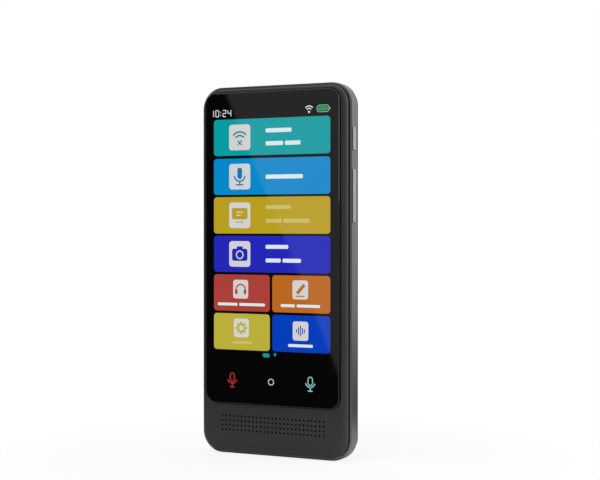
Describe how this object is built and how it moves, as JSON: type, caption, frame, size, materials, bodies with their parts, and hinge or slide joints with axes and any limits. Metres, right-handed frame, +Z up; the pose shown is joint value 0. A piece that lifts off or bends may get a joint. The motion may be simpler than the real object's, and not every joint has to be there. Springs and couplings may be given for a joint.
{
  "type": "handheld translator",
  "caption": "Slim upright handheld translator with a tall touch screen, a slotted speaker chin, side buttons and a camera window in its back.",
  "frame": {"origin": "middle of the footprint on the lower edge, with the object standing upright", "axes": "+X to the right seen from the screen, +Y from the screen to the back, +Z up"},
  "size_m": [0.0646, 0.0132, 0.142],
  "materials": {
    "shell_plastic": "fine matte texture, near-black grey",
    "band_metal": "satin anodised, dark silver",
    "button_metal": "satin, silver",
    "screen_glass": "polished, printed black behind",
    "window_glass": "polished, printed black behind",
    "adhesive": "soft tape",
    "clear_film": "clear film",
    "display_cell": "picture cell",
    "white_plastic": "light guide",
    "foam": "closed foam",
    "chassis_alloy": "cast, as it leaves the die",
    "board": "green circuit board",
    "flex_film": "amber film",
    "can_steel": "tinned sheet",
    "chip": "moulded case",
    "connector": "moulded case",
    "battery_wrap": "pouch foil, black",
    "screw_steel": "black zinc",
    "camera_plastic": "moulded case",
    "lens": "coated, blue",
    "socket_steel": "drawn steel",
    "contact_gold": "gold plate",
    "speaker_plastic": "moulded case",
    "mesh": "black woven mesh",
    "cone_film": "pressed film",
    "coil_copper": "enamelled wire",
    "magnet": "plated",
    "dome_steel": "spring sheet"
  },
  "bodies": {
    "case": {"battery_adhesive": "adhesive", "battery_board": "board", "battery_cell": "battery_wrap", "battery_connector": "connector", "battery_lead": "flex_film", "board_link_flex": "flex_film", "camera_barrel": "camera_plastic", "camera_bracket": "camera_plastic", "camera_foam": "foam", "camera_lens": "lens", "camera_module": "camera_plastic", "camera_window": "window_glass", "chassis_plate": "chassis_alloy", "chassis_screws": "screw_steel", "clear_adhesive": "clear_film", "display_backlight": "white_plastic", "display_connector": "connector", "display_flex": "flex_film", "display_foam": "foam", "display_panel": "display_cell", "film_antennas": "flex_film", "front_housing": "shell_plastic", "front_shield_can": "can_steel", "glass_adhesive": "adhesive", "key_board": "board", "key_board_spacer": "foam", "key_bracket": "can_steel", "key_flex": "flex_film", "key_lamps": "white_plastic", "key_light_guides": "white_plastic", "lower_board": "board", "lower_board_screws": "screw_steel", "main_board": "board", "main_board_screws": "screw_steel", "memory_chip": "chip", "metal_band": "band_metal", "microphone_boots": "foam", "microphones": "can_steel", "power_chip": "chip", "power_dome": "dome_steel", "processor_chip": "chip", "rear_cover": "shell_plastic", "rear_shield_can": "can_steel", "socket_contacts": "contact_gold", "socket_shell": "socket_steel", "socket_tongue": "chip", "speaker_basket": "speaker_plastic", "speaker_gasket": "foam", "speaker_magnet": "magnet", "speaker_mesh": "mesh", "speaker_surround": "foam", "speaker_yoke": "magnet", "touch_glass": "screen_glass", "touch_sensor": "clear_film", "volume_domes": "dome_steel", "window_adhesive": "adhesive"},
    "power_key": {"power_button": "button_metal"},
    "volume_key": {"volume_button": "button_metal"},
    "speaker_cone_set": {"speaker_cone": "cone_film", "voice_coil": "coil_copper"}
  },
  "joints": [
    {"name": "power_press", "type": "slide", "parent": "case", "child": "power_key", "axis": [-1, 0, 0], "range_m": [0, 0.0003], "stiffness_N_per_m": 2000, "deforming": ["power_dome"]},
    {"name": "volume_rock", "type": "hinge", "parent": "case", "child": "volume_key", "pos_m": [0.0301, -0.0009, 0.0994], "axis": [0, 1, 0], "range_deg": [-1.2, 1.2], "stiffness_Nm_per_rad": 0.14, "deforming": ["volume_domes"]},
    {"name": "cone_drive", "type": "slide", "parent": "case", "child": "speaker_cone_set", "axis": [0, 1, 0], "range_m": [-0.00025, 0.00025], "stiffness_N_per_m": 900, "deforming": ["speaker_surround"]}
  ]
}
